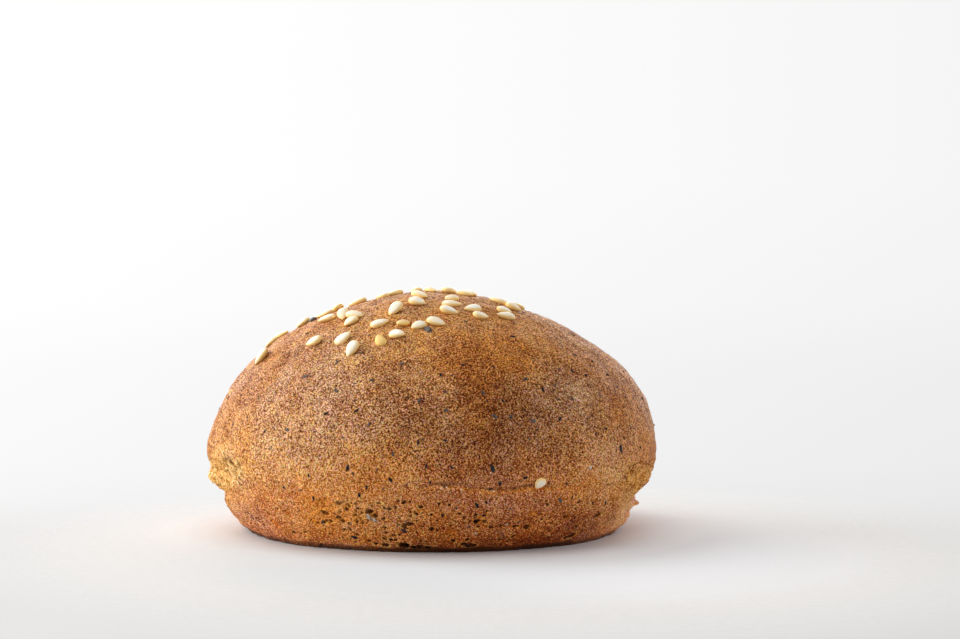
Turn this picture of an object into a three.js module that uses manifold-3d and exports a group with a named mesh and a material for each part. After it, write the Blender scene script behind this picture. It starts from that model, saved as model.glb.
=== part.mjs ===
// Sesame bread roll: a round, well-risen roll that stands on its flat baked foot.
// Millimetres, +Z up, front towards -Y, origin in the middle of the foot where it rests.
//
// The crust is a turned form. Its skin is pushed in and out by slow waves of dough, by the crease
// where the dome folds over the base, and by the two sides where it was pulled off its neighbours.
// The sesame seeds are baked into the crown, so crust and seeds are one solid.
import * as THREE from 'three';
import { mergeVertices } from 'three/addons/utils/BufferGeometryUtils.js';
import Module from 'manifold-3d';

// Crust form
const RADIUS = 40;               // at the waist, the widest level
const HEIGHT = 41.3;             // edge of the foot to crown
const WAIST_HEIGHT = 13.3;
const FOOT_RADIUS = 33.4;
const FOOT_GAP = 0.6;            // the edge curls up this far off the table
const FOOT_INSET = 0.45;         // the flat baked underside ends this far inside the edge
const DOME_FULLNESS = 1.72;      // 2 is an ellipse, less is more pointed
const UNDER_ROUNDING = 1.67;     // how the side turns in to the foot
const UNDER_RISE = 1.35;

// Slow waves of dough
const WAVE_COUNT = 6;
const WAVE_LENGTH = 34;          // longest wave, each next one is shorter
const WAVE_SHORTENING = 0.78;
const WAVE_DEPTH = 0.0035;       // share of the wave's own length
const WAVE_TURN = 2.4;           // radians from one wave's direction to the next
const WAVE_TILT = 1.7;

// Crease between dome and base, highest at the front and back
const CREASE_SIDE_HEIGHT = 5.3;
const CREASE_RISE = 5.9;
const CREASE_DEPTH = 0.35;
const CREASE_WIDTH = 0.8;

// Torn sides, just above the crease: turn from the front in degrees, half its span, height, depth
const TEARS = [
  { turn: -78, span: 27, height: 5.6, depth: 0.55 },
  { turn: 78, span: 25, height: 5.0, depth: 0.6 },
];

// Swells and hollows: turn in degrees, height, half width, half height, outward push
const SWELLS = [
  { turn: -85, height: 8.9, wide: 8, tall: 1.4, push: 1.5 },     // lip under the left tear
  { turn: -84, height: 6.3, wide: 7, tall: 0.5, push: -0.8 },    // split below that lip
  { turn: -85, height: 3.2, wide: 12, tall: 2.0, push: 0.4 },
  { turn: -88, height: 15.2, wide: 12, tall: 2.0, push: 0.2 },   // edge of crust over the tear
  { turn: 85, height: 8.6, wide: 8, tall: 1.6, push: 0.5 },      // lip under the right tear
  { turn: 84, height: 5.7, wide: 8, tall: 0.95, push: -2.1 },    // split below that lip
  { turn: 84, height: 4.3, wide: 2, tall: 0.4, push: 0.6 },      // flake that stands in it
  { turn: 84, height: 3.1, wide: 9, tall: 0.9, push: -0.7 },
  { turn: 90, height: 21, wide: 16, tall: 5, push: 0.3 },        // fuller right side of the dome
  { turn: 90, height: 31, wide: 20, tall: 9, push: 0.5 },
  { turn: -90, height: 20, wide: 16, tall: 5, push: -0.25 },
  { turn: -90, height: 34, wide: 16, tall: 8, push: 0.5 },
  { turn: -8, height: 28, wide: 5, tall: 4, push: -0.35 },       // thumb dent in the dome
  { turn: -7, height: 5.9, wide: 1.8, tall: 0.8, push: 0.35 },   // blister in the base
];

// Faceting
const COLUMNS = 78;
const DOME_RINGS = 18;
const BASE_RINGS = 17;

// Sesame seeds
const SEED = { length: 3.35, width: 2.15, thickness: 1.15 };
const SEED_SIDES = 6;
const SEED_RINGS = 4;
const SEED_TAPER = 0.32;         // the tip is narrower than the butt
const SEED_SPREAD = 0.1;         // how much seeds differ in size
const SEED_SINK = 0.25;          // how deep its lowest point is baked into the skin

// Seeds of the front: turn from the front in degrees, distance down the crust from the crown, where
// the tip points, in degrees from straight down, positive to the right, and how far it leans out
const FRONT_SEEDS = [
  [-73, 33.5, -5, -10], [-89, 30.5, 40, 0], [-91, 28, 145, -5], [-94, 24, 55, -10],
  [-94, 19.5, -25, 0], [-65, 21, -20, 5], [-104, 18, -30, -15], [-94, 13.5, 5, -5],
  [-90, 9, -50, 0], [-96, 6.5, 50, 0], [-50, 28, -65, -10], [-38, 26, 160, 10],
  [-30, 29, -5, -15], [-57, 19, 50, -20], [-48, 18.5, 105, -10], [-45, 20.5, 5, 0],
  [-27, 20.5, 135, 0], [-25, 15.5, -15, -20], [-21, 26, -145, 10], [-15, 24, 70, 10],
  [-15, 20.5, -20, 20], [-7, 21, -35, 5], [2, 19.5, 60, -5], [-13, 11.5, 70, -5],
  [-17, 7.5, 65, -5], [-150, 0.5, -180, -5], [105, 3, 35, -5], [21, 9, -65, 0],
  [16, 12, 70, 5], [11, 15, 70, -10], [84, 6, -30, 0], [29, 14.5, -85, 0],
  [29, 17.5, 90, -10], [74, 12, -180, 0], [52, 16, 65, -5], [46, 18, -120, 0],
  [69, 15.5, 15, -5],
];

// Two small charred seeds between them, and one that rolled down into the crease
const DARK_SEEDS = [
  [-91, 22, -60, -5], [-2, 22, 25, 5],
];
const DARK_SIZE = 0.65;
const STRAY_SEEDS = [
  [27, 55, -20, -12],
];
const STRAY_SIZE = 0.85;

// Seeds of the crown's back half: strewn at random over a round patch, clear of every other seed
const STREWN_COUNT = 34;
const PATCH_CENTRE = { x: -4, y: 3 };
const PATCH_RADIUS = 23;
const PATCH_FRONT = 2;           // strewn seeds stay behind this line
const SEED_CLEARANCE = 2.4;
const STREWN_TILT = 9;           // how far one of them may lean either way, degrees
const RANDOM_START = 20417;
const RANDOM_FACTOR = 1664525;
const RANDOM_STEP = 1013904223;
const RANDOM_RANGE = 2 ** 32;

const QUARTER_TURN = Math.PI / 2;
const DEGREE = Math.PI / 180;

const wasm = await Module();
wasm.setup();

// Repeatable random numbers from 0 to 1
let randomState = RANDOM_START;
function random() {
  randomState = (randomState * RANDOM_FACTOR + RANDOM_STEP) % RANDOM_RANGE;
  return randomState / RANDOM_RANGE;
}

function spread(share) {
  return 1 + share * (2 * random() - 1);
}

// Half section of the roll, measured from the edge of the foot up: level 1 is the crown, 0 the
// waist and -1 the edge of the foot
function halfSection(level) {
  const inward = Math.cos(level * QUARTER_TURN);
  const rise = Math.sin(Math.abs(level) * QUARTER_TURN);
  if (level >= 0) {
    const radius = RADIUS * inward ** (2 / DOME_FULLNESS);
    return { radius, height: WAIST_HEIGHT + (HEIGHT - WAIST_HEIGHT) * rise };
  }
  const radius = FOOT_RADIUS + (RADIUS - FOOT_RADIUS) * inward ** UNDER_ROUNDING;
  return { radius, height: WAIST_HEIGHT * (1 - rise ** UNDER_RISE) };
}

// Waves of dough: each one runs its own way and is shorter and flatter than the last
function doughWaves(x, y, z) {
  let push = 0;
  let length = WAVE_LENGTH;
  for (let wave = 1; wave <= WAVE_COUNT; wave += 1) {
    const turn = WAVE_TURN * wave;
    const along = x * Math.cos(turn) + y * Math.sin(turn) + z * Math.sin(WAVE_TILT * wave);
    push += WAVE_DEPTH * length * Math.sin((2 * Math.PI * along) / length + wave);
    length *= WAVE_SHORTENING;
  }
  return push;
}

function creaseHeight(turn) {
  return CREASE_SIDE_HEIGHT + CREASE_RISE * Math.abs(Math.cos(turn));
}

// Shortest way round from one turn to another
function turnBetween(from, to) {
  return Math.atan2(Math.sin(to - from), Math.cos(to - from));
}

// How far the skin stands out of the plain turned form
function relief(turn, radius, height) {
  const x = radius * Math.sin(turn);
  const y = -radius * Math.cos(turn);
  const aboveCrease = height - creaseHeight(turn);
  let push = doughWaves(x, y, height);
  push -= CREASE_DEPTH * Math.exp(-((aboveCrease / CREASE_WIDTH) ** 2));
  for (const tear of TEARS) {
    const across = turnBetween(tear.turn * DEGREE, turn) / (tear.span * DEGREE);
    const up = (2 * aboveCrease) / tear.height - 1;
    push -= tear.depth * Math.exp(-(across ** 4) - up ** 4);
  }
  for (const swell of SWELLS) {
    const across = (turnBetween(swell.turn * DEGREE, turn) * radius) / swell.wide;
    const up = (height - swell.height) / swell.tall;
    push += swell.push * Math.exp(-(across ** 2) - up ** 2);
  }
  return push;
}

// Point of the skin: the dome is pushed away from the middle of the waist, the base sideways,
// and all of it stands off the table by the gap under the edge
function skin(turn, level) {
  const { radius, height } = halfSection(level);
  const climb = Math.max(height - WAIST_HEIGHT, 0);
  const push = relief(turn, radius, height) / Math.hypot(radius, climb);
  const reach = radius * (1 + push);
  const z = FOOT_GAP + height + climb * push;
  return new THREE.Vector3(reach * Math.sin(turn), -reach * Math.cos(turn), z);
}

// Closed geometry to solid: shared corners merged, collapsed triangles left out
function toSolid(geometry) {
  geometry.deleteAttribute('normal');
  geometry.deleteAttribute('uv');
  const merged = mergeVertices(geometry);
  const corners = merged.index.array;
  const triangles = [];
  for (let first = 0; first < corners.length; first += 3) {
    const [a, b, c] = corners.slice(first, first + 3);
    if (a !== b && b !== c && c !== a) triangles.push(a, b, c);
  }
  const mesh = new wasm.Mesh({
    numProp: 3,
    vertProperties: new Float32Array(merged.attributes.position.array),
    triVerts: new Uint32Array(triangles),
  });
  return new wasm.Manifold(mesh);
}

// The crust: a lathe form from the middle of the underside up to the crown. The underside follows
// the edge of the foot; all points above it lie on the skin.
function makeCrust() {
  const levels = [];
  for (let ring = BASE_RINGS; ring > 0; ring -= 1) levels.push(-ring / BASE_RINGS);
  for (let ring = 0; ring <= DOME_RINGS; ring += 1) levels.push(ring / DOME_RINGS);
  const profile = [new THREE.Vector2(0, 0), new THREE.Vector2(FOOT_RADIUS - FOOT_INSET, 0)];
  const underside = profile.length;
  for (const level of levels) {
    const { radius, height } = halfSection(level);
    profile.push(new THREE.Vector2(radius, FOOT_GAP + height));
  }
  profile[profile.length - 1].x = 0;
  const geometry = new THREE.LatheGeometry(profile, COLUMNS);
  geometry.rotateX(QUARTER_TURN);
  const places = geometry.attributes.position;
  for (let column = 0; column <= COLUMNS; column += 1) {
    const turn = (2 * Math.PI * column) / COLUMNS;
    const start = column * profile.length + underside;
    const edge = skin(turn, -1).multiplyScalar(1 - FOOT_INSET / FOOT_RADIUS);
    places.setXYZ(start - 1, edge.x, edge.y, 0);
    for (let ring = 0; ring < levels.length; ring += 1) {
      const point = skin(turn, levels[ring]);
      places.setXYZ(start + ring, point.x, point.y, point.z);
    }
  }
  return toSolid(geometry);
}

// Place on the crust so far down from the crown, with the directions out, downhill and across
function spotOnCrust(turn, down) {
  const step = 0.004;
  let level = 1;
  let walked = 0;
  let point = skin(turn, level);
  while (walked < down) {
    level -= step;
    const next = skin(turn, level);
    walked += next.distanceTo(point);
    point = next;
  }
  const across = skin(turn + step, level).sub(skin(turn - step, level)).normalize();
  const downhill = skin(turn, level - step).sub(skin(turn, level + step)).normalize();
  const out = downhill.clone().cross(across).normalize();
  return { point, out, downhill, across };
}

// One teardrop seed, lying on the crust with its tip turned away from straight downhill
function makeSeed([turnDegrees, down, lieDegrees, tiltDegrees], size) {
  const spot = spotOnCrust(turnDegrees * DEGREE, down);
  const lie = lieDegrees * DEGREE;
  const tilt = tiltDegrees * DEGREE;
  const length = size * SEED.length * spread(SEED_SPREAD);
  const width = size * SEED.width * spread(SEED_SPREAD);
  const thickness = size * SEED.thickness * spread(SEED_SPREAD);
  const geometry = new THREE.SphereGeometry(1, SEED_SIDES, SEED_RINGS);
  const places = geometry.attributes.position;
  for (let index = 0; index < places.count; index += 1) {
    const along = places.getY(index);
    const slim = 1 - SEED_TAPER * along;
    places.setX(index, (places.getX(index) * slim * width) / 2);
    places.setY(index, (along * length) / 2);
    places.setZ(index, (places.getZ(index) * slim * thickness) / 2);
  }
  geometry.rotateX(tilt);
  const tip = spot.downhill.multiplyScalar(Math.cos(lie));
  tip.addScaledVector(spot.across, Math.sin(lie));
  const side = tip.clone().cross(spot.out);
  const reachDown = Math.hypot(length * Math.sin(tilt), thickness * Math.cos(tilt)) / 2;
  const place = new THREE.Matrix4().makeBasis(side, tip, spot.out);
  place.setPosition(spot.point.addScaledVector(spot.out, reachDown - SEED_SINK));
  geometry.applyMatrix4(place);
  return toSolid(geometry);
}

// Place of a seed on the crust rolled out flat round the crown
function flatPlace([turnDegrees, down]) {
  const turn = turnDegrees * DEGREE;
  return { x: down * Math.sin(turn), y: -down * Math.cos(turn) };
}

// Seeds strewn over the patch by throwing darts: a dart too near another seed is thrown again
function strewnSeeds() {
  const seeds = [];
  const taken = FRONT_SEEDS.map(flatPlace);
  while (seeds.length < STREWN_COUNT) {
    const swing = 2 * Math.PI * random();
    const reach = PATCH_RADIUS * Math.sqrt(random());
    const x = PATCH_CENTRE.x + reach * Math.cos(swing);
    const y = PATCH_CENTRE.y + reach * Math.sin(swing);
    const lie = 360 * random();
    const free = taken.every((other) => Math.hypot(other.x - x, other.y - y) > SEED_CLEARANCE);
    if (free && y > PATCH_FRONT) {
      taken.push({ x, y });
      const tilt = STREWN_TILT * (2 * random() - 1);
      seeds.push([Math.atan2(x, -y) / DEGREE, Math.hypot(x, y), lie, tilt]);
    }
  }
  return seeds;
}

const sprinkling = [
  { seeds: FRONT_SEEDS, size: 1 },
  { seeds: DARK_SEEDS, size: DARK_SIZE },
  { seeds: STRAY_SEEDS, size: STRAY_SIZE },
  { seeds: strewnSeeds(), size: 1 },
];
let roll = makeCrust();
for (const { seeds, size } of sprinkling) {
  for (const seed of seeds) roll = roll.add(makeSeed(seed, size));
}

const joined = roll.getMesh();
const geometry = new THREE.BufferGeometry();
geometry.setAttribute('position', new THREE.BufferAttribute(joined.vertProperties, 3));
geometry.setIndex(new THREE.BufferAttribute(joined.triVerts, 1));
geometry.computeVertexNormals();

const crustMaterial = new THREE.MeshStandardMaterial({
  color: 0x9c6238,
  roughness: 0.55,
  metalness: 0,
});
const breadRoll = new THREE.Mesh(geometry, crustMaterial);
breadRoll.name = 'bread_roll';

const model = new THREE.Group();
model.add(breadRoll);

export default model;
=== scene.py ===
# Sesame bread roll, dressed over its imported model: browned crust, torn crumb at both sides, sesame
# seeds, bits of husk, and the pale table it stands on. Metres, +Z up, front towards -Y.
import math

import bpy
import numpy as np
from mathutils import Matrix, Vector, noise
from mathutils.bvhtree import BVHTree


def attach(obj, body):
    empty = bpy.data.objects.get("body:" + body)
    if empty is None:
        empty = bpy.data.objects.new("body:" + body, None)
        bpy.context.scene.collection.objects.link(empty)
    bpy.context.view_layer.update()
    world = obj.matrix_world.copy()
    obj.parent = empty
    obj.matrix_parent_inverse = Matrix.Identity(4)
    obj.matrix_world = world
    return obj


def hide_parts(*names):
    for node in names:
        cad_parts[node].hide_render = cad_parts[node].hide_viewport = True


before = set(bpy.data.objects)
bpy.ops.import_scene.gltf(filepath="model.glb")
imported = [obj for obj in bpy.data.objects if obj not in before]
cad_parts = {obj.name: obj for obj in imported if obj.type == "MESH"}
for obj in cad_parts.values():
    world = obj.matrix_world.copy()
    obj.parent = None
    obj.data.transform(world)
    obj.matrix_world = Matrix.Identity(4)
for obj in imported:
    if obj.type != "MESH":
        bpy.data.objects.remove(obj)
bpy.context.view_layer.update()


# --- Dome of the crust ------------------------------------------------------------------------
# The brown upper crust, one skin from the crown down to the crease where the dome folds over the
# base. It is baked dough full of bran, so its skin is gently lumpy and grained all over.
MM = 0.001               # sizes of the roll are in millimetres
QUARTER_TURN = math.pi / 2
RADIUS = 40.0            # at the waist, the widest level
HEIGHT = 41.3            # edge of the foot to crown
WAIST_HEIGHT = 13.3
FOOT_RADIUS = 33.4
FOOT_GAP = 0.6           # the edge of the foot curls up this far off the table
FOOT_INSET = 0.45        # the flat underside ends this far inside the edge
DOME_FULLNESS = 1.72     # 2 is an ellipse, less is more pointed
UNDER_ROUNDING = 1.67    # how the side turns in to the foot
UNDER_RISE = 1.35

# Slow waves of dough
WAVE_COUNT = 6
WAVE_LENGTH = 34.0       # longest wave, each next one is shorter
WAVE_SHORTENING = 0.78
WAVE_DEPTH = 0.0035      # share of the wave's own length
WAVE_TURN = 2.4          # radians from one wave's direction to the next
WAVE_TILT = 1.7

# Crease between dome and base, highest at the front and back
CREASE_SIDE_HEIGHT = 5.3
CREASE_RISE = 5.9
CREASE_DEPTH = 0.35
CREASE_WIDTH = 0.8
# Where it is closed: turn from the front and half width in degrees, and how far
CREASE_CLOSED = [(-32, 27, 0.85), (46, 12, 0.5)]

# Torn sides: turn from the front in degrees, half its span, height, depth
TEARS = [(-78, 27, 5.6, 0.55), (78, 25, 5.0, 0.6)]
TEAR_MARGIN = 0.6        # the bare crumb is this much taller than the hollow it lies in

# Swells and hollows: turn in degrees, height, half width, half height, outward push
SWELLS = [
    (-85, 8.9, 8, 1.4, 1.5), (-84, 6.3, 7, 0.5, -0.8), (-85, 3.2, 12, 2.0, 0.4),
    (-88, 15.2, 12, 2.0, 0.2), (85, 8.6, 8, 1.6, 0.5), (84, 5.7, 8, 0.95, -2.1),
    (84, 4.3, 2, 0.4, 0.6), (84, 3.1, 9, 0.9, -0.7), (90, 21, 16, 5, 0.3),
    (90, 31, 20, 9, 0.5), (-90, 20, 16, 5, -0.25), (-90, 34, 16, 8, 0.5),
    (-8, 28, 5, 4, -0.35), (-7, 5.9, 1.8, 0.8, 0.35),
]
DOME_COLUMNS = 640
DOME_ROWS = 150
DOME_CROWDING = 1.3      # rows lie closer near the crease
SEAM_GAP = 0.002         # points closer than this are one
OVERLAP = 1.6            # how far dome and base reach behind each other at the crease
OVERLAP_START = 0.4      # how far before the crease they start to sink
OVERLAP_SINK = 0.2
TEAR_CLEARANCE = 1.5     # how far the crust stays behind the torn crumb
BARED_STARTS = (0.55, 0.85)          # from none to all of that, in shares of the tear

# Fold under the edge of the dome, a thin broken line that waves up and down along the crease;
# its darkness is painted shade under the edge, over a shallow groove
FOLD_TURN, FOLD_SPAN = 14, 17        # its middle and half its length, in degrees
FOLD_RISE, FOLD_WIDTH = 0.1, 0.19
FOLD_DEPTH = 0.7
FOLD_DARKNESS = 0.62
FOLD_BEHIND = 0.2        # how strong it is from the sides round the back
BEHIND_START = 0.2       # cosine of the turn there
SWAY, SWAYS, SWAY_START = 0.45, 15, 15.5         # its waves: height, count round the roll, start
JITTER, JITTERS = 0.08, 67           # smaller waves on them
BREAK_DEPTH, BREAKS = 0.35, (41, 26)             # how far it breaks off, and two counts of breaks
# Lip of the base just under that line, painted golden: partly its own colour, partly painted
# light, as on a lit ledge
LEDGE_SPAN = 18
LEDGE_DROP, LEDGE_WIDTH = 0.5, 0.3
LEDGE_STRENGTH = 0.9


def half_section(level):
    """Radius, and height above the edge of the foot: level 1 is the crown, 0 the waist and -1
    the edge of the foot."""
    inward = np.maximum(np.cos(level * QUARTER_TURN), 0)
    rise = np.sin(np.abs(level) * QUARTER_TURN)
    upper = level >= 0
    dome_radius = RADIUS * inward ** (2 / DOME_FULLNESS)
    base_radius = FOOT_RADIUS + (RADIUS - FOOT_RADIUS) * inward ** UNDER_ROUNDING
    dome_height = WAIST_HEIGHT + (HEIGHT - WAIST_HEIGHT) * rise
    base_height = WAIST_HEIGHT * (1 - rise ** UNDER_RISE)
    return np.where(upper, dome_radius, base_radius), np.where(upper, dome_height, base_height)


def base_level(height):
    """Level of a height under the waist."""
    rise = np.clip(1 - height / WAIST_HEIGHT, 0, 1) ** (1 / UNDER_RISE)
    return -np.arcsin(rise) / QUARTER_TURN


def dough_waves(x, y, z):
    push = 0
    length = WAVE_LENGTH
    for wave in range(1, WAVE_COUNT + 1):
        turn = WAVE_TURN * wave
        along = x * math.cos(turn) + y * math.sin(turn) + z * math.sin(WAVE_TILT * wave)
        push = push + WAVE_DEPTH * length * np.sin(2 * math.pi * along / length + wave)
        length *= WAVE_SHORTENING
    return push


def crease_height(turn):
    return CREASE_SIDE_HEIGHT + CREASE_RISE * np.abs(np.cos(turn))


def turn_between(start, end):
    return np.arctan2(np.sin(end - start), np.cos(end - start))


def along_roll(turn, middle, half_width):
    """1 over that stretch round the roll, in degrees, and 0 beyond its ends."""
    across = turn_between(math.radians(middle), turn) / math.radians(half_width)
    return np.exp(-(across ** 4))


def relief(turn, radius, height):
    """How far the skin stands out of the plain turned form."""
    above_crease = height - crease_height(turn)
    push = dough_waves(radius * np.sin(turn), -radius * np.cos(turn), height)
    closed = sum(share * along_roll(turn, *place) for *place, share in CREASE_CLOSED)
    push = push - CREASE_DEPTH * (1 - closed) * np.exp(-((above_crease / CREASE_WIDTH) ** 2))
    for tear_turn, span, tall, depth in TEARS:
        across = turn_between(math.radians(tear_turn), turn) / math.radians(span)
        push = push - depth * np.exp(-(across ** 4) - (2 * above_crease / tall - 1) ** 4)
    for swell_turn, at, wide, tall, out in SWELLS:
        across = turn_between(math.radians(swell_turn), turn) * radius / wide
        push = push + out * np.exp(-(across ** 2) - ((height - at) / tall) ** 2)
    return push


def skin(turn, level, lift=0.0):
    """Point of the skin, lifted out of it by so many millimetres."""
    radius, height = half_section(level)
    climb = np.maximum(height - WAIST_HEIGHT, 0)
    push = (relief(turn, radius, height) + lift) / np.hypot(radius, climb)
    reach = radius * (1 + push)
    return np.stack([reach * np.sin(turn), -reach * np.cos(turn),
                     FOOT_GAP + height + climb * push], axis=-1)


def ease(low, high, value):
    """Smooth step from 0 at low to 1 at high."""
    share = np.clip((value - low) / (high - low), 0, 1)
    return share * share * (3 - 2 * share)


def sheet_of_dough(name, columns, rows):
    """A flat sheet, with the share of each of its points along and up."""
    bpy.ops.object.select_all(action="DESELECT")
    bpy.ops.mesh.primitive_grid_add(x_subdivisions=columns, y_subdivisions=rows, size=1)
    sheet = bpy.context.object
    sheet.name = sheet.data.name = name
    flat = np.empty(len(sheet.data.vertices) * 3)
    sheet.data.vertices.foreach_get("co", flat)
    flat = flat.reshape(-1, 3) + 0.5
    return sheet, flat[:, 0], flat[:, 1]


def shape(mesh, points, shares):
    """Puts the points in their places, in millimetres, and keeps each share for the materials."""
    mesh.vertices.foreach_set("co", (points * MM).ravel())
    for name, values in shares.items():
        attribute = mesh.attributes.new(name, "FLOAT", "POINT")
        values = np.broadcast_to(values, len(points)).astype(np.float32)
        attribute.data.foreach_set("value", values)


def wrap(sheet, points, **shares):
    """Lays the sheet round the roll and closes its seam and pole."""
    shape(sheet.data, points, shares)
    bpy.ops.object.mode_set(mode="EDIT")
    bpy.ops.mesh.select_all(action="SELECT")
    bpy.ops.mesh.remove_doubles(threshold=SEAM_GAP * MM)
    bpy.ops.object.mode_set(mode="OBJECT")
    bpy.ops.object.shade_smooth()


def rough_up(sheet, name, size, depth, octaves):
    """Raises and sinks the skin by clouds of that size."""
    texture = bpy.data.textures.new(name, "CLOUDS")
    texture.noise_scale = size * MM
    texture.noise_depth = octaves
    push = sheet.modifiers.new(name, "DISPLACE")
    push.texture = texture
    push.texture_coords = "LOCAL"
    push.strength = depth * MM
    bpy.context.view_layer.objects.active = sheet
    bpy.ops.object.modifier_apply(modifier=name)


def crust_grain(sheet):
    """Lumps and bran grain of the crust; its foot stays flat on the table."""
    rough_up(sheet, "dough lumps", size=4.5, depth=0.5, octaves=1)
    rough_up(sheet, "bran grain", size=1.1, depth=0.32, octaves=2)
    for vertex in sheet.data.vertices:
        vertex.co.z = max(vertex.co.z, 0)


def torn(turn, height):
    """How far a place lies inside the torn sides, from 0 outside to about 1."""
    above_crease = height - crease_height(turn)
    share = 0
    for tear_turn, span, tall, _ in TEARS:
        across = turn_between(math.radians(tear_turn), turn) / math.radians(span)
        share = share + np.exp(-(across ** 4) - (2 * above_crease / (tall + TEAR_MARGIN) - 1) ** 4)
    return share


# Soft patches over the crust: turn and half width in degrees, height, half height, and how strong.
# Golden is paler and yellow, below 0 darker and redder. They are partly the bake of the crust,
# partly painted light and shade; the wide one over the crown is painted light from above.
GOLDEN_AND_LIGHT_PATCHES = [
    (-24, 26, 5, 6, 0.9), (-24, 24, 12, 4.5, 0.7), (43, 11, 10, 4.5, 0.8), (-15, 30, 33, 4, 0.4),
    (14, 26, 21, 7, -0.3), (63, 10, 25, 5, -0.35), (-62, 12, 27, 5, -0.2), (0, 80, 41, 5, 0.5),
    (-76, 15, 7, 2.4, 0.8), (-60, 12, 4, 2, -0.5), (70, 20, 8, 3, 0.9), (14, 18, 14, 2, -0.4),
    (28, 16, 1.5, 2.5, -0.3), (18, 26, 19, 4, -0.2), (58, 10, 6, 5, 0.3), (52, 12, 9.5, 3, 0.5),
    (-62, 20, 17, 4, 0.4), (5, 14, 1.2, 1.5, 0.3), (71, 9, 1.5, 2, 0.5), (-34, 20, 0.9, 0.6, 0.45),
]
# Mauve is greyer, below 0 a deep amber; the first two, on the left and right shoulders, are a
# painted sheen, the greyish reflection of the light and the white surroundings
MAUVE_AND_SHEEN_PATCHES = [
    (-36, 15, 27, 7, 1.1), (36, 11, 25, 4, 1.3), (22, 26, 32, 4, -1.2), (63, 12, 22, 6, -1.3),
    (-70, 16, 17, 5, -0.4), (-21, 4, 3.4, 1.2, 1.1), (17, 4, 3.1, 1, 0.6), (34.5, 3, 2.2, 1, 0.7),
    (47, 9, 3, 2, 0.8), (18, 12, 8.5, 1.6, 0.6), (-60, 12, 4, 2, 0.7), (64, 16, 8, 3, -0.8),
    (6.5, 7, 6.2, 1.6, -0.6), (13, 7, 28.5, 5, -0.6), (-60, 22, 22, 8, 0.35), (-32, 10, 24, 5, 0.4),
    (-12, 12, 22, 5, 0.5), (10, 24, 15, 4, -0.35), (18, 12, 10, 2, -0.4), (-10, 14, 7, 6, 0.5),
    (22, 20, 1.5, 2.5, -0.9), (50, 6, 14, 6, 0.4), (-26, 9, 6, 3, -1.0), (-20, 18, 3, 2, -0.6),
    (12, 8, 14, 2.5, 0.35), (44, 8, 6.5, 2.5, 0.5), (62, 9, 6, 3.5, 0.5), (70, 10, 2, 2, 0.8),
    (-56, 6, 2.5, 1.5, 0.9), (-64, 7, 14.5, 2, 0.5), (-44, 8, 27.5, 3, 0.3), (-8, 8, 29.5, 3, 0.6),
    (60, 8, 19.5, 4, 0.4), (58, 10, 27, 3, 0.5), (38, 10, 17.3, 2.5, 0.45), (11.5, 7, 18, 2.2, 0.5),
    (-27, 8, 3.8, 1.6, 0.5), (18, 9, 4.3, 2, -0.5),
]
# Pale is brighter in the same hue, below 0 darker; these patches are mostly painted light and
# shade, laid where the lamps light the crust too little or too much
PALE_LIGHT_AND_SHADE_PATCHES = [
    (-28, 24, 15.5, 4, 0.22), (48, 13, 13.5, 4, 0.25), (0, 60, 11.5, 3, 0.15), (-22, 7, 7, 2, 0.2),
    (-34, 24, 27, 9, 0.12), (-36, 9, 28, 6, 0.1), (14, 8, 27, 8, -0.26), (13, 9, 18, 4, -0.12),
    (-13, 8, 26, 3.5, -0.17), (25, 7, 25, 5, -0.15), (-20, 34, 18.5, 3, 0.15), (50, 9, 6, 2, -0.2),
    (50, 9, 2.5, 2, -0.22), (0, 60, 37.5, 4, 0.2), (80, 14, 4, 4, 0.3), (-28, 14, 6, 3.5, 0.12),
    (66, 8, 3.5, 2.5, 0.45), (42, 7, 5, 3.5, -0.28), (28, 12, 1.2, 1.2, -0.2),
    (2, 6, 2, 2.5, -0.18), (12, 8, 33, 3, -0.12), (22, 7, 30, 3, -0.12), (-6, 5, 26, 4, -0.1),
    (-26, 5, 6, 1.5, 0.15), (-56, 14, 11, 4, 0.12), (52, 16, 15.5, 3, 0.12), (2, 5, 1, 1.5, -0.15),
    (30, 5, 1.5, 1.5, -0.15), (71, 8, 1.5, 2, 0.4), (2, 6, 5, 2, -0.12), (43, 8, 3, 2.5, -0.12),
    (-28, 7, 7.7, 2, 0.12), (-44, 8, 27.5, 3, 0.12), (-34, 20, 0.9, 0.6, 0.15),
]


def patch(turn, height, at, wide, high, tall):
    """A soft patch, 1 in its middle."""
    across = np.degrees(turn_between(math.radians(at), turn)) / wide
    return np.exp(-(across ** 2) - ((height - high) / tall) ** 2)


def sum_of(patches, turn, height):
    return sum(share * patch(turn, height, *place) for *place, share in patches)


# Low sides of the roll, which baked golden, and the lowest band of the side, darker and redder
# down to the foot; heights go from none of it to all of it
SIDE_GOLD, SIDE_HEIGHTS, SIDE_NARROWING = 0.5, (24, 7), 4
FOOT_BROWN, FOOT_HEIGHTS = 0.6, (2.2, 0.5)
# Redder skin: the base, a band over it at the right, and a patch over it at the left; the sides of
# the base are pale, and it is a little less red where most of its pits are
BASE_RUSSET_HEIGHTS = (13, 7)
BAND_RUSSET, BAND_BOTTOM, BAND_TOP, BAND_START = 0.5, (7, 10), (19, 13), (-0.4, 0.5)
RUSSET_PATCH = (-20, 28, 12.5, 4, 0.6)
PALE_SIDES = [(-78, 20, 7, 4, 1), (66, 20, 8, 4, 1)]
PITTED_PATCH = (-20, 26, 4.5, 4, 0.25)
# Bare crumb: the right tear is browner, and the crust is thin over the left tear
RIGHT_TEAR_CRUMB = 0.6
THIN_CRUST = (-67, 13, 15, 3, 0.6)


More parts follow.
